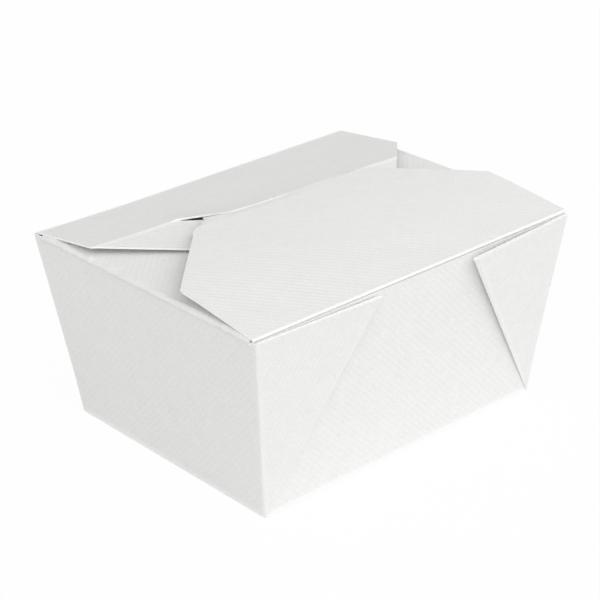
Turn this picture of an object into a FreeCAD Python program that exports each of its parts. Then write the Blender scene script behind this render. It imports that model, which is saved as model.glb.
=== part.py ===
import FreeCAD, Part
import os

# Folded takeout food box: one die-cut sheet of thin white board, closed on top
# by four flaps. The long side runs along X, the flap that opens first is hinged
# at the front (-Y). Origin: centre of the base, on the face it stands on.

os.makedirs("parts", exist_ok=True)
V = FreeCAD.Vector

# Board and body, in millimetres
BOARD = 0.6               # thickness of the sheet
BASE_LENGTH = 114.5       # outside of the base, along X
BASE_WIDTH = 90.5         # outside of the base, along Y
TOP_LENGTH = 130.0        # outside of the short walls at their top
TOP_WIDTH = 104.0         # outside of the long walls at their top
CORNER_WIDTH = 107.0      # over the folded corners that lie on the long walls
WALL_TOP = 63.6           # height where the walls end and the top folds begin
FOLD_ROUND = 0.5          # outer radius of the folds around the base and up the corners

# Corners folded flat on the outside of the long walls
GLUED_TIP_X = 16.2        # distance of a glued tip from the middle of the wall
GLUED_TIP_OUT = 0.3       # how far it stands out of the plane of its corner
LOOSE_TIP_X = 21.3        # the same two for a corner that has sprung open a little
LOOSE_TIP_OUT = 2.2
GUSSET_TIP_Z = 62.2       # height of the tips
GUSSET_CORNER_Z = 63.4    # height of the cut edge at the corner
GUSSET_FOOT_Z = 0.4       # height of their lowest point, just above the base fold
LAYER_GAP = 0.25          # air between two layers of board
FOLD_MARGIN = 1.1         # width of board left joined along a tight fold
GAP_FOOT_X = 9.0          # lowest point of the air behind a gusset, in from the corner
GAP_FOOT_Z = 12.0
GAP_PAST_TIP = 6.0

# Short flaps that fold in first
FOLD_RADIUS = 0.45        # half the width of a folded top edge
DUST_FOLD_Z = WALL_TOP + 0.1
DUST_HALF_HINGE = TOP_WIDTH / 2 - 5.0
DUST_HALF_END = 27.0
DUST_LENGTH = 42.0
DUST_DROP = 2.9           # how far the free end hangs below its fold

# Back flap: main panel up to the crease, then the panel tucked under the front
BACK_HINGE_Y = TOP_WIDTH / 2 - FOLD_RADIUS
BACK_FOLD_Z = WALL_TOP + 0.2
BACK_RISE = 0.13          # height gained for each millimetre towards the front
BACK_HALF_HINGE = TOP_LENGTH / 2 - 0.6
BACK_LEFT_CORNER = V(-BACK_HALF_HINGE + 0.8, 25.5, 0)
BACK_RIGHT_CORNER = V(BACK_HALF_HINGE - 1.2, 21.8, 0)
CREASE_LEFT = [BACK_LEFT_CORNER + V(1.1, -1.1, 0), V(-33.0, 22.7, 0)]
CREASE_RIGHT = [V(37.0, 10.9, 0), BACK_RIGHT_CORNER + V(-12.2, -12.3, 0)]
LIP_EDGE = [V(-26.5, 18.0, 0), V(-18.7, 13.2, 0), V(-1.0, 11.7, 0), V(35.0, 11.5, 0)]
SLIT_EDGE = [V(-27.0, 17.7, 67.85), V(-19.0, 12.9, 67.9), V(-1.0, 11.35, 68.25), V(20.0, 11.2, 68.75)]
TUCK_END = [V(-27.0, -11.0, 66.9), V(31.5, -10.0, 66.9)]

# Front flap: bowed panel with a folded edge, square shoulders and a tongue
BEAD_RADIUS = 0.55
BEAD_AIR = 0.05           # air between the fold of the front flap and the wall below it
HINGE_Y = -TOP_WIDTH / 2 + 0.35
HINGE_Z = WALL_TOP + BEAD_AIR + BEAD_RADIUS
BOW = [(HINGE_Y, 64.75), (-40.0, 66.45), (-28.0, 68.0), (-16.0, 69.1), (-4.0, 69.8), (10.6, 70.31)]
FRONT_HALF_HINGE = TOP_LENGTH / 2
FRONT_WIDE_CORNER = V(FRONT_HALF_HINGE - 0.3, -19.7, 0)
SHOULDER_START = V(39.6, 5.4, 0)
SHOULDER_MIDDLE = V(36.9, 8.3, 0)
SHOULDER_END = V(33.0, 9.9, 0)
NOTCH_ROOT = V(28.2, 9.7, 0)
TONGUE_BEND = V(10.0, 8.4, 0)
TONGUE_END = [
    V(-29.2, 13.0, 69.0),
    V(-27.3, 17.3, 68.75),
    V(-19.3, 12.5, 68.9),
    V(-1.0, 11.15, 69.2),
    V(20.0, 11.05, 69.75),
    V(29.2, 10.9, 70.15),
]


def mirror_x(point):
    return V(-point.x, point.y, point.z)


def back_height(y):
    """Height of the upper side of the back flap's main panel."""
    return BACK_FOLD_Z + FOLD_RADIUS + BACK_RISE * (BACK_HINGE_Y - y)


def bow_height(y):
    """Height of the upper side of the front flap."""
    for (y0, z0), (y1, z1) in zip(BOW, BOW[1:]):
        if y <= y1:
            return z0 + (z1 - z0) * (y - y0) / (y1 - y0)
    return BOW[-1][1]


def on_back(point):
    return V(point.x, point.y, back_height(point.y))


def on_front(point):
    return V(point.x, point.y, bow_height(point.y))


def outline(points):
    return Part.makePolygon(list(points) + [points[0]])


def column(points):
    """Upright prism over a plan outline, tall enough to cut every flap."""
    face = Part.Face(outline([V(p.x, p.y, 55) for p in points]))
    return face.extrude(V(0, 0, 25))


def strip(points):
    """Sheet of board below a flat outline given on its upper side."""
    return Part.Face(outline(points)).extrude(V(0, 0, -BOARD))


def fuse(shapes):
    joined = shapes[0]
    for shape in shapes[1:]:
        joined = joined.fuse(shape)
    return joined.removeSplitter()


def frustum(length0, width0, z0, length1, width1, z1):
    wires = []
    for length, width, z in ((length0, width0, z0), (length1, width1, z1)):
        a = length / 2
        b = width / 2
        wires.append(outline([V(-a, -b, z), V(a, -b, z), V(a, b, z), V(-a, b, z)]))
    return Part.makeLoft(wires, True, True)


def tray():
    """Base and four flared walls, one board thick."""
    outer = frustum(BASE_LENGTH, BASE_WIDTH, 0, TOP_LENGTH, TOP_WIDTH, WALL_TOP)
    slope_l = (TOP_LENGTH - BASE_LENGTH) / WALL_TOP
    slope_w = (TOP_WIDTH - BASE_WIDTH) / WALL_TOP
    low = BOARD
    high = WALL_TOP + 1
    inner = frustum(
        BASE_LENGTH + slope_l * low - 2 * BOARD, BASE_WIDTH + slope_w * low - 2 * BOARD, low,
        BASE_LENGTH + slope_l * high - 2 * BOARD, BASE_WIDTH + slope_w * high - 2 * BOARD, high)
    open_box = outer.cut(inner)
    folds = [e for e in open_box.Edges if max(v.Z for v in e.Vertexes) < 0.01]
    return open_box.makeFillet(FOLD_ROUND, folds)


def gusset_tip(free):
    if free:
        return LOOSE_TIP_X, LOOSE_TIP_OUT
    return GLUED_TIP_X, GLUED_TIP_OUT


def gusset_triangle(sx, sy, depth, tip, side, raise_top):
    """Corner, tip and foot of one gusset layer, depth below its outer plane."""
    tip_x, tip_out = tip
    foot_y = BASE_WIDTH / 2 - depth * 0.4 + 0.05
    top_y = CORNER_WIDTH / 2 - depth
    lean = (TOP_LENGTH - BASE_LENGTH) / 2 / WALL_TOP
    corner_x = BASE_LENGTH / 2 + lean * GUSSET_CORNER_Z
    foot_z = GUSSET_FOOT_Z + side * 2.0
    foot = V(sx * (BASE_LENGTH / 2 + lean * GUSSET_FOOT_Z - side * 0.4), sy * foot_y, foot_z)
    corner = V(sx * (corner_x - side), sy * top_y, GUSSET_CORNER_Z + raise_top)
    end = V(sx * (tip_x + side), sy * (top_y + tip_out), GUSSET_TIP_Z + raise_top)
    return outline([foot, corner, end])


def gusset(sx, sy, free):
    """Web of board folded double: solid wedge with the air between its layers cut out."""
    tip = gusset_tip(free)
    deep = CORNER_WIDTH / 2 - TOP_WIDTH / 2 + 0.3
    wedge = Part.makeLoft([
        gusset_triangle(sx, sy, deep, (tip[0], -0.1), 0.0, 0.0),
        gusset_triangle(sx, sy, 0.0, tip, 0.0, 0.0)], True, True)
    between = Part.makeLoft([
        gusset_triangle(sx, sy, BOARD + LAYER_GAP, tip, FOLD_MARGIN, 1.5),
        gusset_triangle(sx, sy, BOARD, tip, FOLD_MARGIN, 1.5)], True, True)
    return wedge.cut(between)


def wall_gap(sx, sy, free):
    """Air behind a gusset, open at the top and along its diagonal fold."""
    tip_x, tip_out = gusset_tip(free)
    lean = (TOP_LENGTH - BASE_LENGTH) / 2 / WALL_TOP
    corner_x = sx * (BASE_LENGTH / 2 + lean * GUSSET_CORNER_Z - FOLD_MARGIN)
    foot_x = sx * (BASE_LENGTH / 2 - GAP_FOOT_X)
    open_x = sx * (tip_x - GAP_PAST_TIP)
    wall = TOP_WIDTH / 2
    layer = CORNER_WIDTH / 2 - 2 * BOARD - LAYER_GAP
    wall_foot = BASE_WIDTH / 2 + (TOP_WIDTH - BASE_WIDTH) / 2 * GAP_FOOT_Z / WALL_TOP
    corner_z = GUSSET_CORNER_Z + 1.5
    tip_z = GUSSET_TIP_Z + 1.5
    near = [V(foot_x, sy * wall_foot, GAP_FOOT_Z), V(corner_x, sy * wall, corner_z),
            V(open_x, sy * wall, tip_z)]
    far = [V(foot_x, sy * (wall_foot + 0.05), GAP_FOOT_Z), V(corner_x, sy * layer, corner_z),
           V(open_x, sy * (layer + tip_out), tip_z)]
    return Part.makeLoft([outline(near), outline(far)], True, True)


def top_fold(start, end):
    return Part.makeCylinder(FOLD_RADIUS, (end - start).Length, start, end - start)


def dust_flap(side):
    """Short flap folded in from the top of a short wall."""
    fold_x = TOP_LENGTH / 2 - FOLD_RADIUS
    end_x = fold_x - DUST_LENGTH
    high = DUST_FOLD_Z + FOLD_RADIUS
    side_y = -TOP_WIDTH
    profile = [V(fold_x, side_y, high), V(end_x, side_y, high - DUST_DROP),
               V(end_x, side_y, high - DUST_DROP - BOARD), V(fold_x, side_y, high - BOARD)]
    slab = Part.Face(outline(profile)).extrude(V(0, 2 * TOP_WIDTH, 0))
    plan = [V(fold_x, -DUST_HALF_HINGE, 0), V(end_x, -DUST_HALF_END, 0),
            V(end_x, DUST_HALF_END, 0), V(fold_x, DUST_HALF_HINGE, 0)]
    panel = slab.common(column(plan))
    fold_end = V(fold_x, DUST_HALF_HINGE, DUST_FOLD_Z)
    flap = panel.fuse(top_fold(fold_end - V(0, 2 * DUST_HALF_HINGE, 0), fold_end))
    if side < 0:
        return flap.mirror(V(0, 0, 0), V(1, 0, 0))
    return flap


def back_flap():
    """Back lid flap with its lip, slit and tucked panel."""
    main = [V(-BACK_HALF_HINGE, BACK_HINGE_Y, 0), BACK_LEFT_CORNER] + CREASE_LEFT + LIP_EDGE
    main += CREASE_RIGHT + [BACK_RIGHT_CORNER, V(BACK_HALF_HINGE, BACK_HINGE_Y, 0)]
    pieces = [strip([on_back(p) for p in main])]
    left = [on_back(p) for p in CREASE_LEFT]
    right = [on_back(p) for p in CREASE_RIGHT]
    end_left, end_right = TUCK_END
    left_edge = left + SLIT_EDGE[:3]
    right_edge = SLIT_EDGE[2:] + right
    for edge, end in ((left_edge, end_left), (right_edge, end_right)):
        for start, stop in zip(edge, edge[1:]):
            pieces.append(strip([start, stop, end]))
    pieces.append(strip([SLIT_EDGE[2], end_right, end_left]))
    fold_end = V(BACK_HALF_HINGE, BACK_HINGE_Y, BACK_FOLD_Z)
    pieces.append(top_fold(mirror_x(fold_end), fold_end))
    return pieces


def upright_cutter(sx, sy):
    """What a sharp upright corner loses when it is rounded."""
    lean = (TOP_LENGTH - BASE_LENGTH) / 2 / WALL_TOP
    foot = V(sx * BASE_LENGTH / 2, sy * BASE_WIDTH / 2, 0)
    top = V(sx * (BASE_LENGTH / 2 + lean * GUSSET_CORNER_Z), sy * CORNER_WIDTH / 2, GUSSET_CORNER_Z)
    along = (top - foot).normalize()
    to_short = V(0, -sy, 0) - along * along.dot(V(0, -sy, 0))
    to_long = V(-sx, 0, 0) - along * along.dot(V(-sx, 0, 0))
    a = to_short.normalize() * FOLD_ROUND
    b = to_long.normalize() * FOLD_ROUND
    start = foot - along * 1.5
    bulge = Part.Arc(start + a, start + (a + b) * 0.293, start + b).toShape()
    rim = Part.makePolygon([start + b, start + b - a, start - a - b, start + a - b, start + a])
    face = Part.Face(Part.Wire([bulge] + rim.Edges))
    return face.extrude(along * ((top - foot).Length + 4))


def carton():
    corners = [(sx, sy) for sx in (-1, 1) for sy in (-1, 1)]
    loose = [sx * sy < 0 for sx, sy in corners]
    body = [tray()] + [gusset(sx, sy, free) for (sx, sy), free in zip(corners, loose)]
    shape = fuse(body)
    for (sx, sy), free in zip(corners, loose):
        shape = shape.cut(wall_gap(sx, sy, free))
        shape = shape.cut(upright_cutter(sx, sy))
    flaps = [dust_flap(-1), dust_flap(1)] + back_flap()
    return fuse([shape] + flaps)


def front_panel():
    """Bowed panel of the front flap up to the line where the tongue bends."""
    top = [V(-TOP_LENGTH, y, z) for y, z in BOW]
    low = [V(-TOP_LENGTH, y, z - BOARD) for y, z in reversed(BOW)]
    slab = Part.Face(outline(top + low)).extrude(V(2 * TOP_LENGTH, 0, 0))
    shoulder = Part.Arc(SHOULDER_START, SHOULDER_MIDDLE, SHOULDER_END).toShape()
    curve = shoulder.discretize(7)
    right = [V(FRONT_HALF_HINGE, HINGE_Y, 0), FRONT_WIDE_CORNER]
    right += curve + [NOTCH_ROOT, TONGUE_BEND]
    left = [mirror_x(p) for p in reversed(right)]
    return slab.common(column(right + left))


def front_tongue():
    """Tongue that bends down from the flap into the slit of the back flap."""
    bend = [mirror_x(NOTCH_ROOT), mirror_x(TONGUE_BEND), TONGUE_BEND, NOTCH_ROOT]
    bend = [on_front(p) for p in bend]
    end = TONGUE_END
    fans = [(0, 0, 1), (0, 1, 2), (1, 2, 3), (2, 3, 4), (3, 4, 5)]
    pieces = []
    for b, e0, e1 in fans:
        pieces.append(strip([bend[b], end[e0], end[e1]]))
    for b, e in ((0, 2), (1, 3), (2, 4)):
        pieces.append(strip([bend[b], end[e], bend[b + 1]]))
    return pieces


def front_flap():
    start = V(-FRONT_HALF_HINGE, HINGE_Y, HINGE_Z)
    bead = Part.makeCylinder(BEAD_RADIUS, 2 * FRONT_HALF_HINGE, start, V(1, 0, 0))
    return fuse([front_panel(), bead] + front_tongue())


nodes = {"carton": carton(), "front_lid_flap": front_flap()}
for name, shape in nodes.items():
    solids = shape.Solids
    box = shape.BoundBox
    print(name, "solids", len(solids), "valid", shape.isValid(), "volume", round(shape.Volume, 1))
    print("   x %.2f %.2f  y %.2f %.2f  z %.2f %.2f" % (
        box.XMin, box.XMax, box.YMin, box.YMax, box.ZMin, box.ZMax))
    solids[0].exportStep("parts/" + name + ".step")
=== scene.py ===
import bpy
import bmesh
import math
from mathutils import Matrix, Vector, noise


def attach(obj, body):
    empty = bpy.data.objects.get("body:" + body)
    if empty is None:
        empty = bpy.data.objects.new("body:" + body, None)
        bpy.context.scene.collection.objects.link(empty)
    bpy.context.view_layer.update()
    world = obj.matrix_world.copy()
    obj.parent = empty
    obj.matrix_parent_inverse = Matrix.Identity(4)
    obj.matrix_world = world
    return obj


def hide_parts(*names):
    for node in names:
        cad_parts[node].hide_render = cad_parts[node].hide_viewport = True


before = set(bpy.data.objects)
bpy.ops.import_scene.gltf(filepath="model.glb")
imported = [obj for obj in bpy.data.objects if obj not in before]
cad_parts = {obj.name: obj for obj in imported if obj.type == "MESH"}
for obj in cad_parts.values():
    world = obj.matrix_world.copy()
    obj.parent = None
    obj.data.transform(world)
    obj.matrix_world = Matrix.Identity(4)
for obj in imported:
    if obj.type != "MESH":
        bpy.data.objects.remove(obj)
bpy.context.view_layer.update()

# Base and long walls. The bottom and the two long sides of one die-cut sheet of thin
# white corrugated board. They fold up along scored lines, and flare outwards to the top.

MM = 0.001
BOARD = 0.6               # thickness of the board
BASE_LENGTH, BASE_WIDTH = 114.5, 90.5
TOP_LENGTH, TOP_WIDTH = 130.0, 104.0
WALL_TOP = 63.6
WALL_CLEAR = 0.1          # a long wall stops this far under the fold of its lid flap
WALL_INSET = 0.35         # and this far inside the short walls
WALL_FOOT = 0.15          # and starts this high, in the round of the bottom fold
WALL_SWAY = 0.07          # how far it strays from flat
WALL_COLUMNS, WALL_ROWS = 60, 32
BASE_FOLD = 0.15          # radius of the bottom fold
BASE_FOLD_STEPS = 4
BASE_COLUMNS = 24         # points along each side of the base
FOLD_RUB_AND_LIGHT, BASE_WORN = 1.0, 0.3   # how white the board is rubbed there, from 0 to 1; on the bottom fold this white is also painted light against the shade at the floor
LOOSE_CORNERS = [         # place of each corner that stands out, and how far its top does
    ((-TOP_LENGTH / 2, TOP_WIDTH / 2), (-0.25, 0.9, 0.35)),
    ((TOP_LENGTH / 2, -TOP_WIDTH / 2), (0.7, 0.0, 0.0)),
]
CORNER_REACH = 45.0       # how far from such a corner the board still gives
SHARP_TURN = math.radians(50)   # an edge that turns further than this is a sharp one
FLAT_STEP = 2.2           # size of the small faces in a flat panel
SLOPE_STEP = 0.1          # how far to each side a panel's slope is measured

BOARD_LIGHT = (0.895, 0.892, 0.881, 1)
BOARD_DARK = (0.835, 0.832, 0.821, 1)
# FLUTE_SHADE is painted shade along the troughs of the flutes
FLUTE_SHADE = (0.68, 0.68, 0.67, 1)
# white of rubbed folds, also used for painted light and painted highlights
RUBBED_AND_LIT_WHITE = (0.955, 0.955, 0.948, 1)
SPECK = (0.55, 0.53, 0.50, 1)
CUT_LIGHT = (0.985, 0.985, 0.975, 1)
CUT_DARK = (0.92, 0.92, 0.91, 1)
MARKS = [                 # small grey marks: place, radius and strength
    ((-29.0, -47.3, 18.0), 0.75, 0.16),
    ((30.4, -54.0, 53.9), 0.6, 0.14),
    ((-54.1, -41.5, 66.3), 0.2, 0.8),
    ((-30.8, -37.3, 66.9), 0.7, 0.08),
    ((-5.6, -47.6, 21.2), 0.2, 0.3),
]
FLUTE_PITCH = 1.8 * MM    # the fine slanted ribs, seen on every panel
FLUTE_HEIGHT = 0.018 * MM
WALL_FLUTE_SHADE, LID_FLUTE_SHADE = 0.075, 0.12   # how strongly the painted shade along them shows, on the walls and on the lid
LID_FROM, LID_TO = 62 * MM, 66 * MM     # heights between which one becomes the other
SPECK_CELLS = 85.0        # cells to the metre, each with one speck at most

# Noises, as scale to the metre, detail and roughness. The first three make the flutes uneven.
# The others are the unevenness of the board's faces and cut edges, each with its height.
WANDER, FAINT, BROKEN = (55.0, 2.0), (38.0, 2.0), (620.0, 2.0)
FIBRES, FIBRE_HEIGHT = (1500.0, 4.0, 0.65), 0.016 * MM
CLOUDS, CLOUD_HEIGHT = (190.0, 5.0, 0.6), 0.004 * MM
DENTS, DENT_HEIGHT = (42.0, 2.0), 0.16 * MM
CRUMPLE, CRUMPLE_HEIGHT = (900.0, 3.0, 0.6), 0.16 * MM
FLUFF, FLUFF_HEIGHT = (2600.0, 4.0, 0.7), 0.03 * MM
PITS, PIT_HEIGHT = (700.0, 2.0), 0.05 * MM


class Number:
    """A number in a material: sums written with it become Math nodes."""

    def __init__(self, finish, socket):
        self.finish = finish
        self.socket = socket

    def sum(self, operation, first, second):
        return self.finish.node("ShaderNodeMath", {"operation": operation}, {0: first, 1: second})

    def __add__(self, other):
        return self.sum("ADD", self, other)

    def __radd__(self, other):
        return self.sum("ADD", other, self)

    def __sub__(self, other):
        return self.sum("SUBTRACT", self, other)

    def __rsub__(self, other):
        return self.sum("SUBTRACT", other, self)

    def __mul__(self, other):
        return self.sum("MULTIPLY", self, other)

    def __rmul__(self, other):
        return self.sum("MULTIPLY", other, self)


class Finish:
    """The nodes of a material, of the world or of a geometry tree."""

    def __init__(self, tree):
        self.tree = tree

    def node(self, kind, settings=None, sockets=None, out=0):
        """Add a node. Its settings come first, then its sockets' values or links."""
        made = self.tree.nodes.new(kind)
        for key, value in (settings or {}).items():
            setattr(made, key, value)
        for key, value in (sockets or {}).items():
            if isinstance(value, Number):
                self.tree.links.new(value.socket, made.inputs[key])
            else:
                made.inputs[key].default_value = value
        return Number(self, made.outputs[out]) if len(made.outputs) else None

    def part(self, vector, axis):
        """The "X", "Y" or "Z" of a vector."""
        return self.node("ShaderNodeSeparateXYZ", None, {"Vector": vector}, axis)

    def blend(self, factor, first, second):
        """A mix of two colours, whose sockets are numbers 6 and 7, and the result's 2."""
        return self.node("ShaderNodeMix", {"data_type": "RGBA"}, {0: factor, 6: first, 7: second}, 2)

    def sine(self, number):
        return self.node("ShaderNodeMath", {"operation": "SINE"}, {0: number})

    def step(self, number, low, high):
        """0 below low, 1 above high and smooth between."""
        return self.node("ShaderNodeMapRange", {"interpolation_type": "SMOOTHSTEP"},
                         {"Value": number, "From Min": low, "From Max": high})

    def grain(self, place, scale, detail, rough=0.5):
        """Cloudy noise from 0 to 1, with its scale to the metre."""
        return self.node("ShaderNodeTexNoise", None,
                         {"Vector": place, "Scale": scale, "Detail": detail, "Roughness": rough})

    def skin(self, colour, rough, height, shine):
        """A matt surface with its unevenness, as the material's result."""
        bump = self.node("ShaderNodeBump", None, {"Strength": 1.0, "Distance": 1.0, "Height": height})
        skin = self.node("ShaderNodeBsdfPrincipled", None, {
            "Base Color": colour, "Roughness": rough, "Normal": bump, "Specular IOR Level": shine})
        self.node("ShaderNodeOutputMaterial", None, {"Surface": skin})


def new_finish(name):
    material = bpy.data.materials.new(name)
    material.use_nodes = True
    material.node_tree.nodes.clear()
    return material, Finish(material.node_tree)


def white_board():
    """Uncoated white face of the board, with its slanted flutes as bumps and as painted shade along them.
    """
    material, f = new_finish("white_board")
    flat = f.node("ShaderNodeAttribute", {"attribute_name": "sheet"}, out="Vector")
    place = f.node("ShaderNodeTexCoord", out="Object")
    rub_and_light = f.part(flat, "Z")

    slant = (f.part(flat, "X") + f.part(flat, "Y")) * (2 * math.pi / (FLUTE_PITCH * math.sqrt(2)))
    turns = slant + f.grain(place, *WANDER) * 1.5
    flutes = f.sine(turns) + f.sine(turns * 2 + 0.9) * 0.28
    flutes = flutes * (f.grain(place, *FAINT) * 0.8 + f.step(f.grain(place, *BROKEN), 0.25, 0.75) * 0.7)
    flute_shade_strength = f.step(f.part(place, "Z"), LID_FROM, LID_TO) * (LID_FLUTE_SHADE - WALL_FLUTE_SHADE) + WALL_FLUTE_SHADE

    fibres = f.grain(place, *FIBRES)
    clouds = f.grain(place, *CLOUDS)
    dents = f.grain(place, *DENTS)
    crumple = f.grain(place, *CRUMPLE)
    tone = f.step(fibres * 0.80 + clouds * 0.20, 0.36, 0.64)
    colour = f.blend(tone, BOARD_DARK, BOARD_LIGHT)
    # painted shade along the flutes, stronger on the lid than on the walls
    colour = f.blend((1 - f.step(flutes, -1.1, 1.1)) * flute_shade_strength, colour, FLUTE_SHADE)
    # whitening: rubbed folds, and painted light and painted highlights where the board lies in shade
    colour = f.blend(rub_and_light * (crumple * 0.5 + 0.6), colour, RUBBED_AND_LIT_WHITE)

    cells = {"Vector": place, "Scale": SPECK_CELLS}
    near = f.node("ShaderNodeTexVoronoi", None, cells, "Distance")
    pick = f.node("ShaderNodeTexVoronoi", None, cells, "Color")
    pick = f.node("ShaderNodeSeparateColor", None, {"Color": pick}, "Red")
    specks = (1 - f.step(near, 0.018, 0.034)) * f.step(pick, 0.74, 0.76) * 0.55
    colour = f.blend(specks, colour, SPECK)
    for centre, radius, strength in MARKS:
        away = f.node("ShaderNodeVectorMath", {"operation": "DISTANCE"},
                      {0: place, 1: tuple(v * MM for v in centre)}, "Value")
        rim = f.step(away, radius * 0.5 * MM, radius * 0.9 * MM) * 0.6 + 0.4
        mark = (1 - f.step(away, radius * 0.9 * MM, radius * 1.2 * MM)) * rim * strength
        colour = f.blend(mark, colour, SPECK)

    height = flutes * (1 - rub_and_light) * FLUTE_HEIGHT + fibres * FIBRE_HEIGHT + clouds * CLOUD_HEIGHT
    height = height + dents * DENT_HEIGHT + crumple * rub_and_light * CRUMPLE_HEIGHT
    f.skin(colour, fibres * 0.12 + 0.84, height, 0.25)
    return material


def cut_edge():
    """Fluffy white edge that the die leaves, with the ends of the flutes."""
    material, f = new_finish("cut_edge")
    place = f.node("ShaderNodeTexCoord", out="Object")
    fluff = f.grain(place, *FLUFF)
    pits = f.grain(place, *PITS)
    colour = f.blend(f.step(fluff * 0.5 + pits * 0.5, 0.38, 0.6), CUT_DARK, CUT_LIGHT)
    f.skin(colour, 0.95, fluff * FLUFF_HEIGHT + pits * PIT_HEIGHT, 0.15)
    return material


FACE, EDGE = white_board(), cut_edge()


def stray(point, size, height):
    """Slow unevenness of folded paper, the same on every run."""
    return height * noise.noise(Vector(point) / size)


def sprung(place):
    """Move a point with the loose corner near it, which stands out a little."""
    rise = 0.5 + 0.5 * min(place.z / WALL_TOP, 1)
    for corner, pull in LOOSE_CORNERS:
        away = (place.xy - Vector(corner)).length
        place = place + Vector(pull) * (rise * max(1 - away / CORNER_REACH, 0) ** 2)
    return place


def divided(outline, cuts, step):
    """A flat panel in small faces, with extra lines across it at the cuts."""
    cut = bmesh.new()
    cut.faces.new([cut.verts.new((a, b, 0)) for a, b in outline])
    bmesh.ops.triangulate(cut, faces=cut.faces[:])
    for axis in (0, 1):
        low = min(p[axis] for p in outline)
        high = max(p[axis] for p in outline)
        count = math.ceil((high - low) / step)
        lines = [low + (high - low) * k / count for k in range(1, count)]
        if axis == 1:
            lines += cuts
        normal = Vector((0, 0, 0))
        normal[axis] = 1
        for line in lines:
            bmesh.ops.bisect_plane(cut, geom=cut.verts[:] + cut.edges[:] + cut.faces[:],
                                   plane_co=normal * line, plane_no=normal, dist=0.01)
    return cut


class Sheet:
    """Panels of board gathered into one mesh. Each point keeps its place in the flat
    sheet, which the flutes follow, and how far it is whitened there, from 0 to 1: by rubbing
    at folds, and by painted light and painted highlights in some places."""

    def __init__(self):
        self.mesh = bmesh.new()
        self.flat = self.mesh.verts.layers.float_vector.new("sheet")

    def point(self, place, flat, rub_and_light=0.0):
        vert = self.mesh.verts.new(sprung(Vector(place)) * MM)
        vert[self.flat] = Vector((flat[0] * MM, flat[1] * MM, rub_and_light))
        return vert

    def face(self, verts, material=0):
        if len(set(verts)) < 3:
            return
        made = self.mesh.faces.new(verts)
        made.material_index = material
        made.smooth = True

    def rows(self, grid, material=0):
        """Join neighbouring rows of points by four-sided faces."""
        for low, high in zip(grid, grid[1:]):
            for k in range(len(low) - 1):
                self.face([low[k], low[k + 1], high[k + 1], high[k]], material)

    def panel(self, outline, place, flat=lambda a, b: (a, b), cuts=(), step=FLAT_STEP,
              rub_and_light=lambda a, b: 0.0, crushed=lambda a, b: 0.0):
        """Cut a panel to its outline, lay it where it goes and give it thickness."""
        turning = sum(p[0] * q[1] - q[0] * p[1] for p, q in zip(outline, outline[1:] + outline[:1]))
        facing = math.copysign(1, turning)

        def outward(a, b):
            along = place(a + SLOPE_STEP, b) - place(a - SLOPE_STEP, b)
            across = place(a, b + SLOPE_STEP) - place(a, b - SLOPE_STEP)
            return along.cross(across).normalized() * facing

        cut = divided(outline, cuts, step)
        upper, lower = {}, {}
        for vert in cut.verts:
            a, b = vert.co.xy
            spot = place(a, b)
            thick = BOARD * (1 - crushed(a, b))
            upper[vert] = self.point(spot, flat(a, b), rub_and_light(a, b))
            lower[vert] = self.point(spot - outward(a, b) * thick, flat(a, b))
        for face in cut.faces:
            self.face([upper[v] for v in face.verts])
            self.face([lower[v] for v in reversed(face.verts)])
            for loop in face.loops:
                if len(loop.edge.link_faces) == 1:
                    a, b = loop.vert, loop.link_loop_next.vert
                    self.face([upper[b], upper[a], lower[a], lower[b]], 1)
        cut.free()

    def add(self, mesh, turn):
        """Add a ready mesh, turned about the upright axis."""
        turned = Matrix.Rotation(turn, 3, "Z")
        known = mesh.attributes["sheet"].data
        made = [self.point(turned @ v.co / MM, known[v.index].vector / MM, known[v.index].vector.z)
                for v in mesh.vertices]
        for face in mesh.polygons:
            self.face([made[k] for k in face.vertices])

    def finish(self, name, node, body):
        """Make the object, hide the part of the model that it replaces, and hang it on the body it moves
        with.
        """
        self.mesh.normal_update()
        for edge in self.mesh.edges:
            if len(edge.link_faces) == 2:
                one, other = edge.link_faces
                turned = edge.calc_face_angle() > SHARP_TURN
                edge.smooth = one.material_index == other.material_index and not turned
        mesh = bpy.data.meshes.new(name)
        self.mesh.to_mesh(mesh)
        self.mesh.free()
        mesh.materials.append(FACE)
        mesh.materials.append(EDGE)
        piece = bpy.data.objects.new(name, mesh)
        bpy.context.scene.collection.objects.link(piece)
        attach(piece, body)
        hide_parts(node)


WALL_SIZES = {            # inputs of the wall's tree, for a wall that faces the front
    "Foot half length": (BASE_LENGTH / 2 - WALL_INSET) * MM,
    "Top half length": (TOP_LENGTH / 2 - WALL_INSET) * MM,
    "Foot out": BASE_WIDTH / 2 * MM,
    "Top out": TOP_WIDTH / 2 * MM,
    "Foot height": WALL_FOOT * MM,
    "Height": (WALL_TOP - WALL_CLEAR) * MM,
    "Sway": 2 * WALL_SWAY * MM,
    "Board": BOARD * MM,
}
SWAY_SCALE, SWAY_SEED = 2.6, 3.7   # size of its waves, and how far apart two seeds lie
JOIN_WITHIN = 0.01 * MM


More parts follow.
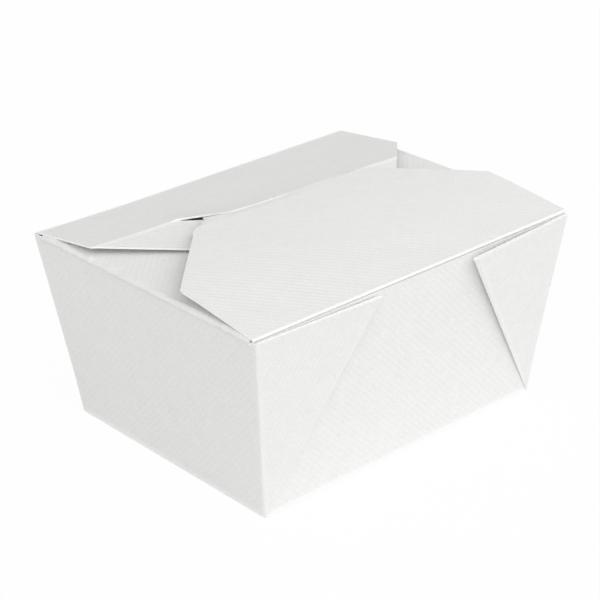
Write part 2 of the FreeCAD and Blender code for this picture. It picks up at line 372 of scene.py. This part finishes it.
def wall_tree():
    """Geometry nodes for one flared wall: a grid that is leant, bowed and thickened."""
    tree = bpy.data.node_groups.new("flared_wall", "GeometryNodeTree")
    names = {}
    for name, value in WALL_SIZES.items():
        socket = tree.interface.new_socket(name, in_out="INPUT", socket_type="NodeSocketFloat")
        socket.default_value = value
        names[name] = socket.identifier
    seed = tree.interface.new_socket("Seed", in_out="INPUT", socket_type="NodeSocketInt")
    names["Seed"] = seed.identifier
    tree.interface.new_socket("Geometry", in_out="OUTPUT", socket_type="NodeSocketGeometry")
    f = Finish(tree)
    given = f.node("NodeGroupInput").socket.node
    size = {name: Number(f, given.outputs[name]) for name in names}

    grid = f.node("GeometryNodeMeshGrid", None,
                  {"Size X": 2.0, "Size Y": 1.0, "Vertices X": WALL_COLUMNS, "Vertices Y": WALL_ROWS})
    start = f.node("GeometryNodeInputPosition")
    rise = f.part(start, "Y") + 0.5
    half = size["Foot half length"] + (size["Top half length"] - size["Foot half length"]) * rise
    out = size["Foot out"] + (size["Top out"] - size["Foot out"]) * rise
    sway = f.node("ShaderNodeTexNoise", {"noise_dimensions": "4D"},
                  {"Vector": start, "W": size["Seed"] * SWAY_SEED, "Scale": SWAY_SCALE, "Detail": 1.0})
    out = out + (sway - 0.5) * size["Sway"] * f.sine(rise * math.pi)
    x = f.part(start, "X") * half
    z = size["Foot height"] + (size["Height"] - size["Foot height"]) * rise
    place = f.node("ShaderNodeCombineXYZ", None, {"X": x, "Y": out * -1, "Z": z})
    # the bottom row is painted white: rubbing, and painted light where the fold is shaded by the floor
    rub_and_light = 1 - f.step(rise, 0.0, 1.0 / (WALL_ROWS - 1))
    flat = f.node("ShaderNodeCombineXYZ", None, {"X": x, "Y": z, "Z": rub_and_light})

    outer = f.node("GeometryNodeStoreNamedAttribute", {"data_type": "FLOAT_VECTOR", "domain": "POINT"},
                   {"Geometry": grid, "Name": "sheet", "Value": flat})
    outer = f.node("GeometryNodeSetPosition", None, {"Geometry": outer, "Position": place})
    inward = f.node("ShaderNodeVectorMath", {"operation": "SCALE"},
                    {0: f.node("GeometryNodeInputNormal"), "Scale": size["Board"] * -1})
    inner = f.node("GeometryNodeExtrudeMesh", {"mode": "FACES"},
                   {"Mesh": outer, "Offset": inward, "Offset Scale": 1.0, "Individual": False})
    inner = f.node("GeometryNodeFlipFaces", None, {"Mesh": inner})
    both = tree.nodes.new("GeometryNodeJoinGeometry")
    for side in (outer, inner):
        tree.links.new(side.socket, both.inputs[0])
    closed = f.node("GeometryNodeMergeByDistance", None,
                    {"Geometry": Number(f, both.outputs[0]), "Distance": JOIN_WITHIN})
    whole = f.node("GeometryNodeRealizeInstances", None, {"Geometry": closed})
    coated = f.node("GeometryNodeSetMaterial", None, {"Geometry": whole, "Material": FACE})
    f.node("NodeGroupOutput", None, {"Geometry": coated})
    return tree, names


def flared_wall(tree, names, seed):
    """One long wall as a plain mesh."""
    holder = bpy.data.objects.new("wall_form", bpy.data.meshes.new("wall_form"))
    bpy.context.scene.collection.objects.link(holder)
    grow = holder.modifiers.new("flared wall", "NODES")
    grow.node_group = tree
    for name, value in WALL_SIZES.items():
        grow[names[name]] = value
    grow[names["Seed"]] = seed
    depsgraph = bpy.context.evaluated_depsgraph_get()
    mesh = bpy.data.meshes.new_from_object(holder.evaluated_get(depsgraph), depsgraph=depsgraph)
    bpy.data.objects.remove(holder)
    return mesh


def base_rings():
    """How far in and how high the base's outline is, up its rounded bottom fold."""
    rings = []
    for k in range(BASE_FOLD_STEPS + 1):
        angle = math.radians(90 * k / BASE_FOLD_STEPS)
        rings.append((BASE_FOLD * (1 - math.sin(angle)), BASE_FOLD * (1 - math.cos(angle))))
    rings.append((0.0, BOARD))
    return rings


def rectangle(half_x, half_y, z):
    """Points round a rectangle, with a point at each corner."""
    corners = [(-half_x, -half_y), (half_x, -half_y), (half_x, half_y), (-half_x, half_y)]
    for (x0, y0), (x1, y1) in zip(corners, corners[1:] + corners[:1]):
        for k in range(BASE_COLUMNS):
            t = k / BASE_COLUMNS
            yield x0 + (x1 - x0) * t, y0 + (y1 - y0) * t, z


tray = Sheet()
loops = []
for inset, z in base_rings():
    # the rings of the bottom fold are painted white: rubbing, and painted light against the shade at the
    # floor
    rub_and_light = FOLD_RUB_AND_LIGHT if z > 0 else BASE_WORN
    ring = rectangle(BASE_LENGTH / 2 - inset, BASE_WIDTH / 2 - inset, z)
    loops.append([tray.point(p, (p[0], -p[1]), rub_and_light) for p in ring])
tray.rows([loop + loop[:1] for loop in loops])
tray.face(list(reversed(loops[0])))
tray.face(loops[-1])
tree, names = wall_tree()
for seed, turn in ((1, 0.0), (2, math.pi)):
    tray.add(flared_wall(tree, names, seed), turn)
tray.finish("base_and_long_walls", "carton", "box")

# Short walls with their corner webs, of the same sheet. Each short wall runs on round both
# corners as a web that is creased on the slant, folded double and stuck flat on the outside
# of the long wall. Two of the four webs have sprung open a little.

CORNER_WIDTH = 107.0      # between the outsides of the webs, at their tops
WEB_FOOT_Z, WEB_CORNER_Z, WEB_TIP_Z = 0.1, 63.4, 62.2
WEB_FOOT_OUT = 0.05       # how far the foot of a web stands off the base
WEB_DEPTH = 1.36          # both layers and the air between them, at the top
WEB_PUFF = 2.2            # the same at the tip of a sprung web, whose layers have parted
WEB_LAYER = 0.985         # thickness of a layer, as a share of the round it is folded in
WEB_END = 0.9             # how far the hidden layer stops from the corner
WEB_START = 0.003         # the webs begin just above the bottom fold
WEB_SHORTEST, WEB_THINNEST = 0.4, 0.06   # length and depth that a web keeps at its foot
GLUED_TIP = (16.2, 0.3)   # distance of the tip from the middle, and out of the corner's plane
LOOSE_TIP = (21.3, 2.2)
LEAN = (TOP_LENGTH - BASE_LENGTH) / 2 / WALL_TOP
CORNER_ROUND = 0.8
WEB_WAVES, WALL_WAVES = (22, 0.10), (24, 0.16)   # size and height of their unevenness
LOOSE_RUB_AND_HIGHLIGHT, GLUED_RUB_AND_HIGHLIGHT = 1.0, 0.4          # how white the folded edge of a web is, rubbed and with a painted highlight where the fold catches the light
RIGHT_HIGHLIGHT = 2.5           # the right corners are this much whiter than the left ones, as a painted highlight
WEB_LEVELS = 30
HIDDEN_POINTS, TIP_POINTS, SEEN_POINTS, CORNER_POINTS, WALL_POINTS = 14, 8, 24, 4, 38
NEAR_CORNER = 0.7, 1.6    # two more points beside each corner


def web(sx, sy, level):
    """Outer and inner line of a web at one level, from its hidden end to the corner."""
    tip_x, tip_out = LOOSE_TIP if sx * sy < 0 else GLUED_TIP
    tip_depth, fold_rub_and_highlight = (WEB_PUFF, LOOSE_RUB_AND_HIGHLIGHT) if sx * sy < 0 else (WEB_DEPTH, GLUED_RUB_AND_HIGHLIGHT)
    foot = Vector((sx * (BASE_LENGTH / 2 + LEAN * WEB_FOOT_Z), sy * (BASE_WIDTH / 2 + WEB_FOOT_OUT),
                   WEB_FOOT_Z))
    top = Vector((sx * (BASE_LENGTH / 2 + LEAN * WEB_CORNER_Z), sy * CORNER_WIDTH / 2, WEB_CORNER_Z))
    corner = foot + (top - foot) * level
    length = max(abs(sx * tip_x - top.x) * level, WEB_SHORTEST)
    depth = max(tip_depth * level, WEB_THINNEST)
    round_off = min(depth / 2, length * 0.3)
    skin = round_off * WEB_LAYER
    reach = length - round_off
    rise = (WEB_TIP_Z - top.z) * level

    def spot(along, deep):
        t = along / length
        spring = tip_out * level * max(t, 0) ** 1.25
        wave = 0.05 + stray((along, 40 * level, 7 * sx + 3 * sy), *WEB_WAVES)
        wave = wave * level * math.sin(math.pi * min(max(t, 0), 1))
        return corner + Vector((-sx * along, sy * (spring + wave - deep), rise * t))

    def parted(along):
        """Depth of the two layers there, as a share of their depth at the tip."""
        return (WEB_DEPTH + (tip_depth - WEB_DEPTH) * min(along / reach, 1) ** 2) / tip_depth

    outer, inner, flat, rub_and_light = [], [], [], []
    for k in range(HIDDEN_POINTS):
        along = WEB_END * level + (reach - WEB_END * level) * k / HIDDEN_POINTS
        outer.append(spot(along, 2 * round_off * parted(along)))
        inner.append(spot(along, (2 * round_off - skin) * parted(along)))
        flat.append(2 * length - along)
        rub_and_light.append(0.0)

    for k in range(TIP_POINTS + 1):
        angle = math.pi * k / TIP_POINTS
        bulge = math.sin(angle)
        hollow = round_off - skin
        outer.append(spot(reach + round_off * bulge, round_off * (1 + math.cos(angle))))
        inner.append(spot(reach + hollow * bulge, round_off + hollow * math.cos(angle)))
        flat.append(length + round_off * (0.5 - k / TIP_POINTS))
        # rubbed white round the fold, with a painted highlight along its edge
        rub_and_light.append((0.35 + 0.45 * bulge) * fold_rub_and_highlight)

    bend = min(CORNER_ROUND, length * 0.4)
    near = min(1.6, (reach - bend) * 0.3)
    seen = [reach - near * 0.5, reach - near]
    seen += [reach - near + (bend + 2 * near - reach) * k / SEEN_POINTS for k in range(1, SEEN_POINTS + 1)]
    seen += [bend + near * 0.4, bend]
    for along in seen:
        outer.append(spot(along, 0))
        inner.append(spot(along, skin * parted(along)))
        flat.append(along)
    rub_and_light += [0.3 * fold_rub_and_highlight] + [0.0] * (len(seen) - 3) + [0.1, 0.2]

    for k in range(1, CORNER_POINTS + 1):
        t = k / CORNER_POINTS
        place = corner + Vector((0, -sy * bend, 0)) * t * t + Vector((-sx * bend, 0, 0)) * (1 - t) ** 2
        thickness = Vector((-sx * BOARD * (0.3 + 0.7 * t), -sy * BOARD * (1 - 0.3 * t), 0))
        outer.append(place)
        inner.append(place + thickness)
        flat.append(bend * (1 - t))
        # rubbed corner, with a painted highlight on the right corners
        rub_and_light.append((0.3 if k < CORNER_POINTS else 0.15) * (RIGHT_HIGHLIGHT if sx > 0 else 1))
    return outer, inner, [sy * (abs(corner.y) + d) for d in flat], rub_and_light


def short_side(sheet, sx):
    """One short wall with its two webs, one row of points for each level."""
    outside, inside = [], []
    for k in range(WEB_LEVELS + 1):
        level = WEB_START + (1 - WEB_START) * k / WEB_LEVELS
        # the foot row is painted white: rubbing, and painted light against the shade at the floor
        foot = 1.0 if k == 0 else 0.0
        front, rear = web(sx, -1, level), web(sx, 1, level)
        start, end = front[0][-1], rear[0][-1]
        outer, inner, flat, rub_and_light = (list(part) for part in front)
        width = end.y - start.y
        steps = [width * n / WALL_POINTS for n in range(1, WALL_POINTS)]
        for near in NEAR_CORNER:
            steps += [near, width - near]
        for step in sorted(steps):
            t = step / width
            held = math.sin(math.pi * t) * math.sin(math.pi * level)
            bow = stray((60 * t, 45 * level, 5 * sx), *WALL_WAVES) * held
            place = start.lerp(end, t) + Vector((sx * bow, 0, 0))
            outer.append(place)
            inner.append(place + Vector((-sx * BOARD, 0, 0)))
            flat.append(place.y)
            rub_and_light.append(max(0.15 if min(step, width - step) < 1 else 0.0, foot))
        outer += reversed(rear[0])
        inner += reversed(rear[1])
        flat += reversed(rear[2])
        rub_and_light += reversed(rear[3])
        outside.append([sheet.point(p, (a, -sx * p.z), w) for p, a, w in zip(outer, flat, rub_and_light)])
        inside.append([sheet.point(p, (a, -sx * p.z)) for p, a in zip(inner, flat)])
    sheet.rows(outside)
    sheet.rows(inside[::-1])
    sheet.rows([outside[-1], inside[-1]], 1)
    sheet.rows([inside[0], outside[0]], 1)
    for k in (0, -1):
        sheet.rows([[row[k] for row in outside], [row[k] for row in inside]], 1)


sides = Sheet()
for sx in (-1, 1):
    short_side(sides, sx)
bmesh.ops.recalc_face_normals(sides.mesh, faces=sides.mesh.faces[:])
sides.finish("short_walls_with_corner_webs", "carton", "box")

# Dust flaps. Two short flaps of the same sheet on the tops of the short walls, folded in
# first. Their fold is soft and lumpy, because the board was bent against the flutes.

FOLD_RADIUS = 0.45
WRAP = 0.95 * math.pi * FOLD_RADIUS   # board in a fold, which turns a little less than half round
DUST_FOLD_Z = WALL_TOP + 0.1
DUST_HALF_HINGE = TOP_WIDTH / 2 - 5.0
DUST_HALF_END = 27.0
DUST_LENGTH = 42.0
DUST_SHOULDER = 1.5       # how far in from the fold the flap narrows
DUST_RISE = 0.8           # the sprung flap lies up against the panel above it
DUST_SWELL = 0.12         # how far the crushed fold bulges
DUST_LUMPS = {-1: 0.45, 1: 0.12}     # the left fold is the more crushed one
DUST_FRONT, DUST_BACK = 50.6, 48.6   # how far the fold reaches under the two lid flaps
DUST_END_REACH, DUST_END_SINK = 7.0, 0.55   # the fold sinks towards its ends
DUST_FADE, DUST_SINK_FADE = 0.65, 4.0       # how far in from the fold its bulge and its sinking reach
DUST_WAVES = (20, 0.25)
DUST_STEP = 1.0


def dust_spot(side):
    """Place on a dust flap: y along its fold, b from the fold inwards."""
    fold_x = TOP_LENGTH / 2 - FOLD_RADIUS

    def place(y, b):
        away = min(y + DUST_FRONT, DUST_BACK - y)
        ends = min(max(away / DUST_END_REACH, 0), 1)
        lump = DUST_LUMPS[side]
        swell = DUST_SWELL + stray((y, 9 * side, 0), 2.6, lump) + stray((y, 9 * side, 3), 1.1, lump * 0.7)
        swell = swell * ends
        sink = DUST_END_SINK * (1 - ends) ** 2
        if b < 0:
            angle = -b / FOLD_RADIUS
            x = fold_x + (FOLD_RADIUS + swell * 0.8 * math.sin(angle) ** 2) * math.sin(angle)
            z = DUST_FOLD_Z - sink + (FOLD_RADIUS + swell * max(math.cos(angle), 0)) * math.cos(angle)
        else:
            x = fold_x - b
            fade = math.exp(-(b / DUST_FADE) ** 2)
            wave = stray((y, b, 9 * side), *DUST_WAVES) * (1 - fade) * ends
            sink = sink * math.exp(-b / DUST_SINK_FADE)
            z = DUST_FOLD_Z - sink + FOLD_RADIUS + DUST_RISE * b / DUST_LENGTH + swell * fade + wave
        return Vector((side * x, y, z))
    return place


def dust_light_and_rub(y, b):
    """The whole flap is painted paler, as painted light on a flap that lies in shade, and it is rubbed
    whiter still beside its fold.
    """
    if b > 0:
        # painted light over the whole flap, with rubbing beside the fold
        return 0.75 + 0.15 * max(0.0, 1 - b / 0.5)
    return 0.7 if b > -0.6 else 0.05


dust = Sheet()
for side in (-1, 1):
    shape = [(-DUST_FRONT, 0), (-DUST_FRONT, -WRAP), (DUST_BACK, -WRAP), (DUST_BACK, 0),
             (DUST_HALF_HINGE, DUST_SHOULDER), (DUST_HALF_END, DUST_LENGTH),
             (-DUST_HALF_END, DUST_LENGTH), (-DUST_HALF_HINGE, DUST_SHOULDER)]
    dust.panel(shape if side < 0 else shape[::-1], dust_spot(side),
               lambda y, b, side=side: (y, -side * (TOP_LENGTH / 2 - b)),
               cuts=[-WRAP * k / 6 for k in range(7)] + [0.35, 0.7, 1.1, 1.5, 2.2],
               step=DUST_STEP, rub_and_light=dust_light_and_rub)
dust.finish("dust_flaps", "carton", "box")

# Back lid flap. A flap of the same sheet, folded in over the dust flaps. Across it runs a
# crease with a slit, past which the board is tucked down under the front flap.

BACK_HINGE_Y = TOP_WIDTH / 2 - FOLD_RADIUS
BACK_FOLD_Z = WALL_TOP + 0.2
BACK_RISE = 0.13          # slope of the main panel
BACK_LUMPS, BACK_WAVES = (4, 0.06), (30, 0.16)   # of its fold, and of the panel
BACK_WAVES_FROM = 10.0    # how far from the fold they reach their full height
BACK_HALF_HINGE = TOP_LENGTH / 2 - 0.6
BACK_LEFT, BACK_RIGHT = (-63.6, 25.5), (63.2, 21.8)
CREASE_LEFT = [(-62.5, 24.4), (-33.0, 22.7)]
CREASE_RIGHT = [(37.0, 10.9), (51.0, 9.5)]
LIP_EDGE = [(-26.5, 18.0), (-18.7, 13.2), (-1.0, 11.7), (35.0, 11.5)]
LIP_LINE = CREASE_LEFT[1:] + LIP_EDGE
LIP_LIFT = 0.62           # the lip springs up from the board behind the slit
SLIT_EDGE = [(-27.0, 17.7, 68.0), (-19.0, 12.9, 68.05), (-1.0, 11.35, 68.25), (20.0, 11.2, 68.75)]
SLIT_OPEN = [(-34.8, 0.0), (-33.0, 0.35), (-31.0, 0.75), (-27.0, 0.95), (-20.0, 0.75), (-12.0, 0.5),
             (8.0, 0.35), (30.0, 0.0)]   # x, and how widely the slit gapes there
SLIT_REACH = 5.0          # how far from the slit the board is moved by it
SLIT_FROM, SLIT_TO = -27, 36   # the crease isn't rubbed white between these
TUCK_SINK = 0.12          # the tucked board is pressed down by the tongue
TUCK_LEFT, TUCK_RIGHT = (-27.0, -11.0, 66.9), (31.5, -10.0, 66.9)
TUCK_MIDDLE = 4           # point of the tucked panel's rim at which its two fans meet
LID_STEP = 1.4


def hump(value, middle, reach):
    return math.exp(-((value - middle) / reach) ** 2)


def along_line(points, x, column=1):
    """Value of a broken line at x, kept level past its ends."""
    if x <= points[0][0]:
        return points[0][column]
    for p, q in zip(points, points[1:]):
        if x <= q[0]:
            return p[column] + (q[column] - p[column]) * (x - p[0]) / (q[0] - p[0])
    return points[-1][column]


def at_slit(a, b):
    """1 where the slit gapes widest, fading away from it."""
    return along_line(SLIT_OPEN, a) * hump(b, along_line(LIP_LINE, a), SLIT_REACH)


def back_height(b):
    """Height of the main panel before its waves."""
    return BACK_FOLD_Z + FOLD_RADIUS + BACK_RISE * (BACK_HINGE_Y - b)


def back_spot(a, b):
    """Place on the main panel, round its fold and down to the wall."""
    if b > BACK_HINGE_Y:
        angle = (b - BACK_HINGE_Y) / FOLD_RADIUS
        lump = stray((a, 4, 4), *BACK_LUMPS)
        return Vector((a, BACK_HINGE_Y + FOLD_RADIUS * math.sin(angle),
                       BACK_FOLD_Z + (FOLD_RADIUS + lump) * math.cos(angle)))
    away = min((BACK_HINGE_Y - b) / BACK_WAVES_FROM, 1)
    wave = stray((a, b, 2), *BACK_WAVES) * away
    return Vector((a, b, back_height(b) + wave + LIP_LIFT * at_slit(a, b)))


def back_worn(a, b):
    """White along the fold and the crease."""
    if b > BACK_HINGE_Y - 0.6:
        return 0.8
    crease = along_line(CREASE_LEFT, a) if a < 0 else along_line(CREASE_RIGHT, a)
    return 0.9 * hump(b, crease, 0.7) if a < SLIT_FROM or a > SLIT_TO else 0.0


TUCK_RIM = [(a, b, back_height(b)) for a, b in CREASE_LEFT] + SLIT_EDGE
TUCK_RIM += [(a, b, back_height(b)) for a, b in CREASE_RIGHT]
TUCK_FANS = [(TUCK_RIM[k], TUCK_RIM[k + 1], TUCK_LEFT if k < TUCK_MIDDLE else TUCK_RIGHT)
             for k in range(len(TUCK_RIM) - 1)]
TUCK_FANS.append((TUCK_RIM[TUCK_MIDDLE], TUCK_RIGHT, TUCK_LEFT))


def tuck_height(a, b):
    """Height of the tucked panel, from the fan that is nearest."""
    best = None
    for p, q, r in TUCK_FANS:
        area = (q[0] - p[0]) * (r[1] - p[1]) - (r[0] - p[0]) * (q[1] - p[1])
        u = ((a - p[0]) * (r[1] - p[1]) - (r[0] - p[0]) * (b - p[1])) / area
        v = ((q[0] - p[0]) * (b - p[1]) - (a - p[0]) * (q[1] - p[1])) / area
        miss = max(-u, -v, u + v - 1, 0)
        if best is None or miss < best[0]:
            best = (miss, p[2] + u * (q[2] - p[2]) + v * (r[2] - p[2]))
    return best[1]


def tuck_spot(a, b):
    """Place on the tucked panel, whose folds are softened by a mean over what is near."""
    around = [(0, 0), (2, 0), (-2, 0), (0, -2), (-1.4, -1.4), (1.4, -1.4)]
    height = sum(tuck_height(a + i, b + j) for i, j in around) / len(around)
    return Vector((a, b, height - TUCK_SINK * at_slit(a, b)))


back = Sheet()
main = [(-BACK_HALF_HINGE, BACK_HINGE_Y + WRAP), (-BACK_HALF_HINGE, BACK_HINGE_Y), BACK_LEFT]
main += CREASE_LEFT + LIP_EDGE + CREASE_RIGHT
main += [BACK_RIGHT, (BACK_HALF_HINGE, BACK_HINGE_Y), (BACK_HALF_HINGE, BACK_HINGE_Y + WRAP)]
folds = [BACK_HINGE_Y + WRAP * k / 6 for k in range(6)] + [BACK_HINGE_Y - 0.7, BACK_HINGE_Y - 1.5]
back.panel(main, back_spot, cuts=folds, step=LID_STEP, rub_and_light=back_worn)
tucked = [(p[0], p[1]) for p in TUCK_RIM + [TUCK_RIGHT, TUCK_LEFT]]
back.panel(tucked[::-1], tuck_spot, step=LID_STEP, rub_and_light=back_worn)
back.finish("back_lid_flap", "carton", "box")

# Front lid flap. The last flap of the sheet to close: it is bowed over the others, has cut
# corners and rounded shoulders, and its tongue is pushed into the slit.

BEAD_RADIUS = 0.55        # of its fold
BEAD_WRAP = 0.97 * math.pi * BEAD_RADIUS
HINGE_Y = -TOP_WIDTH / 2 + 0.35
HINGE_Z = WALL_TOP + 0.05 + BEAD_RADIUS
BOW = [(HINGE_Y, 64.75), (-40.0, 66.45), (-28.0, 68.0), (-16.0, 69.1), (-4.0, 69.8), (10.6, 70.31)]
BEAD_LUMPS, FRONT_WAVES = (3.5, 0.05), (26, 0.12)   # of its fold, and of the panel
FRONT_WAVES_FROM = 12.0
FRONT_HALF = TOP_LENGTH / 2
CUT_CORNER = [(FRONT_HALF - 0.3, -20.3), (FRONT_HALF - 0.65, -19.3)]
SHOULDER = [(39.6, 5.4), (38.9, 6.5), (38.0, 7.45), (36.9, 8.3), (35.7, 9.05), (34.4, 9.6), (33.0, 9.9)]
NOTCH_ROOT = (28.2, 9.7)
BEND_LINE = [(-28.2, 9.7), (-10.0, 8.4), (10.0, 8.4), (28.2, 9.7)]
TONGUE_HALF = 29.3
TONGUE_END = [(-28.1, 14.4, 69.3), (-27.4, 15.9, 69.1), (-19.3, 12.5, 69.25), (-1.0, 11.15, 69.45),
              (20.0, 11.05, 69.85), (29.2, 10.9, 70.15)]
TONGUE_SHORTEST = 0.6     # the tongue is at least this long past its bend
TONGUE_SOFT = 1.25        # 1 is a sharp bend, and more is a softer one
TONGUE_SINK = 0.05        # how far the tongue is drawn down in its middle
TONGUE_REACH = 0.33       # how much nearer to the lip its end lies there
TONGUE_CUTS = [8.4, 9.1, 9.9, 10.5, 11.0, 12.0, 14.0]
BEND_HIGHLIGHT_FROM, BEND_HIGHLIGHT_TO, BEND_HIGHLIGHT_WIDTH = -27, 22, 1.6   # where the tongue past its bend gets a painted highlight
PINCH, PINCH_FROM, PINCH_TO, PINCH_Y = 0.6, 26, 29, 9.8        # share, and where the tongue has it


def bow_height(y):
    """Smooth curve through the heights of the bow."""
    slopes = [(q[1] - p[1]) / (q[0] - p[0]) for p, q in zip(BOW, BOW[1:])]
    ends = [slopes[0]] + [(a + b) / 2 for a, b in zip(slopes, slopes[1:])] + [slopes[-1]]
    k = max(i for i in range(len(slopes)) if i == 0 or y >= BOW[i][0])
    (y0, z0), (y1, z1) = BOW[k], BOW[k + 1]
    w = y1 - y0
    t = (y - y0) / w
    return (z0 * (1 + 2 * t) * (1 - t) ** 2 + ends[k] * w * t * (1 - t) ** 2
            + z1 * t * t * (3 - 2 * t) + ends[k + 1] * w * t * t * (t - 1))


def front_spot(a, b):
    """Place on the bowed panel, round its fold or down the tongue."""
    if b < HINGE_Y:
        angle = (HINGE_Y - b) / BEAD_RADIUS
        radius = BEAD_RADIUS + stray((a, 1, 8), *BEAD_LUMPS) * math.sin(angle)
        return Vector((a, HINGE_Y - radius * math.sin(angle), HINGE_Z + radius * math.cos(angle)))
    away = min((b - HINGE_Y) / FRONT_WAVES_FROM, 1)
    z = bow_height(b) + stray((a, b, 5), *FRONT_WAVES) * away
    bend = along_line(BEND_LINE, a)
    if b > bend and abs(a) <= TONGUE_HALF:
        end = max(along_line(TONGUE_END, a), bend + TONGUE_SHORTEST)
        end_z = along_line(TONGUE_END, a, 2) - TONGUE_SINK * hump(a, -6, 14)
        t = min((b - bend) / (end - bend), 1)
        z += (end_z - bow_height(bend)) * t ** TONGUE_SOFT
    return Vector((a, b, z))


def front_rub_and_highlight(a, b):
    """White where the board is rubbed round the fold, and a painted highlight on the tongue past its bend.
    """
    if b < HINGE_Y + 0.4:
        return 0.75
    # painted highlight on the tongue past its bend
    past = (b - along_line(BEND_LINE, a)) / BEND_HIGHLIGHT_WIDTH
    return min(max(past, 0), 1) if BEND_HIGHLIGHT_FROM < a < BEND_HIGHLIGHT_TO else 0.0


def front_crushed(a, b):
    """The board is pinched thin where the tongue's two corners enter the slit."""
    return PINCH if b > PINCH_Y and PINCH_FROM < abs(a) < PINCH_TO else 0.0


half = [(FRONT_HALF, HINGE_Y - BEAD_WRAP), (FRONT_HALF, HINGE_Y)] + CUT_CORNER + SHOULDER + [NOTCH_ROOT]
rim = half + [(a, b + (TONGUE_REACH if abs(a) < 25 else 0)) for a, b, z in reversed(TONGUE_END)]
rim += [(-a, b) for a, b in reversed(half)]
folds = [HINGE_Y - BEAD_WRAP * k / 8 for k in range(8)] + [HINGE_Y + 0.5, HINGE_Y + 1.2] + TONGUE_CUTS
front = Sheet()
front.panel(rim, front_spot, cuts=folds, rub_and_light=front_rub_and_highlight, crushed=front_crushed)
front.finish("front_lid_board", "front_lid_flap", "front_lid")

# Floor, light and camera. A white sweep under even studio light, seen from the place that
# the photograph was taken from.

FLOOR_RADIUS = 4.0
FLOOR_DROP = 0.1 * MM     # how far the floor lies below the box
FLOOR_COLOUR = (0.80, 0.80, 0.80, 1)
FLOOR_WHITE = 0.97        # how much of the floor's white is seen by the camera alone
WHITE = (1, 1, 1, 1)
WORLD_LEVEL = 0.405
LAMPS = [                 # name, where it stands, strength, and its width in degrees
    ("left", (-0.61, -0.48, 0.63), 1.57, 75),
    ("right", (0.58, -0.60, 0.55), 1.08, 60),
]
AZIMUTH, ELEVATION, ROLL = (math.radians(v) for v in (-41.129, 25.746, -1.433))
TARGET = Vector((5.933, 8.847, 32.0)) * MM
DISTANCE = 623.223 * MM
SENSOR, FOCAL_LENGTH = 36.0, 113.845
CLIP_START = 0.01

material, f = new_finish("white_floor")
seen = f.node("ShaderNodeLightPath", out="Is Camera Ray")
matt = f.node("ShaderNodeBsdfPrincipled", None, {"Base Color": FLOOR_COLOUR, "Roughness": 0.9})
glow = f.node("ShaderNodeEmission", None, {"Color": WHITE, "Strength": 1.0})
both = f.node("ShaderNodeMixShader", None, {0: seen * FLOOR_WHITE, 1: matt, 2: glow})
f.node("ShaderNodeOutputMaterial", None, {"Surface": both})
sweep = bmesh.new()
bmesh.ops.create_circle(sweep, cap_ends=True, segments=96, radius=FLOOR_RADIUS)
mesh = bpy.data.meshes.new("floor")
sweep.to_mesh(mesh)
sweep.free()
mesh.transform(Matrix.Translation((0, 0, -FLOOR_DROP)))
mesh.materials.append(material)
floor = bpy.data.objects.new("floor", mesh)
bpy.context.scene.collection.objects.link(floor)

world = bpy.data.worlds.new("studio")
world.use_nodes = True
world.node_tree.nodes.clear()
f = Finish(world.node_tree)
seen = f.node("ShaderNodeLightPath", out="Is Camera Ray")
soft = f.node("ShaderNodeBackground", None, {"Color": WHITE, "Strength": WORLD_LEVEL})
backdrop = f.node("ShaderNodeBackground", None, {"Color": WHITE, "Strength": 1.0})
both = f.node("ShaderNodeMixShader", None, {0: seen, 1: soft, 2: backdrop})
f.node("ShaderNodeOutputWorld", None, {"Surface": both})
bpy.context.scene.world = world

for name, towards, strength, spread in LAMPS:
    lamp = bpy.data.lights.new(name, "SUN")
    lamp.energy = strength
    lamp.angle = math.radians(spread)
    shine = bpy.data.objects.new(name, lamp)
    shine.rotation_euler = Vector(towards).to_track_quat("Z", "Y").to_euler()
    bpy.context.scene.collection.objects.link(shine)

back_way = Vector((math.sin(AZIMUTH) * math.cos(ELEVATION), -math.cos(AZIMUTH) * math.cos(ELEVATION),
                   math.sin(ELEVATION)))
right = (-back_way).cross(Vector((0, 0, 1))).normalized()
up = right.cross(-back_way)
rolled_right = right * math.cos(ROLL) + up * math.sin(ROLL)
rolled_up = up * math.cos(ROLL) - right * math.sin(ROLL)
lens = bpy.data.cameras.new("camera")
lens.sensor_fit = "HORIZONTAL"
lens.sensor_width = SENSOR
lens.lens = FOCAL_LENGTH
lens.clip_start = CLIP_START
camera = bpy.data.objects.new("camera", lens)
turned = Matrix((rolled_right, rolled_up, back_way)).transposed().to_4x4()
camera.matrix_world = Matrix.Translation(TARGET + back_way * DISTANCE) @ turned
bpy.context.scene.collection.objects.link(camera)
bpy.context.scene.camera = camera
bpy.context.scene.view_settings.view_transform = "Standard"
